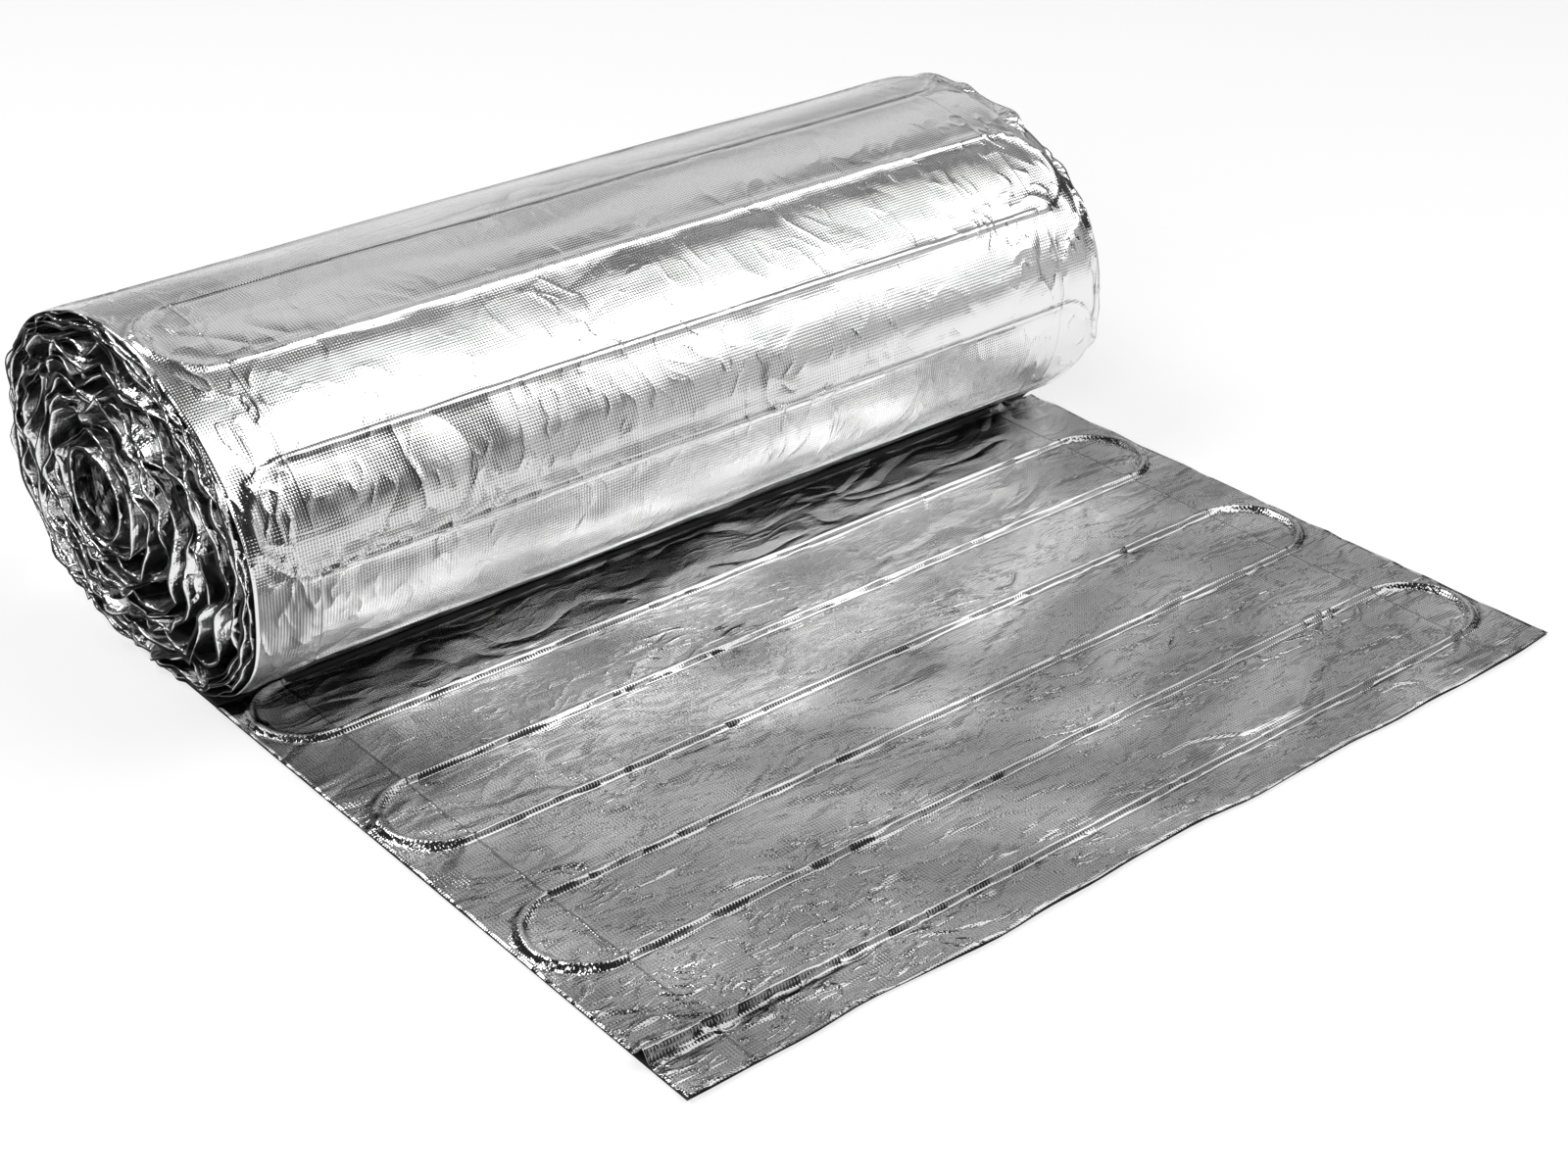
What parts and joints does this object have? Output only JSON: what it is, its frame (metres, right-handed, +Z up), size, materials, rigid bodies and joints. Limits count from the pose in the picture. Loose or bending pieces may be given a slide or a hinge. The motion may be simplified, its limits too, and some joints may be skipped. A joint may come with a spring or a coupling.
{
  "type": "underfloor heating mat",
  "caption": "Foil underfloor heating mat with a serpentine cable between two sheets, part laid out flat and the rest wound into a sagging roll.",
  "frame": {"origin": "on the floor, under the middle of the object's box", "axes": "+X along the roll's axis, from the end with the lead outlet towards the other end; -Y along the laid-out stretch towards its free edge; +Z up"},
  "size_m": [0.512, 0.5204, 0.1643],
  "materials": {
    "foil": "bright rolled aluminium foil on a woven scrim, creased",
    "cable": "satin extruded sheath",
    "yarn": "twisted glass yarn"
  },
  "bodies": {
    "root": {"rolled_mat": "foil", "lower_foil": "foil", "upper_foil": "foil", "heating_cable": "cable", "left_yarn": "yarn", "right_yarn": "yarn"}
  },
  "joints": []
}
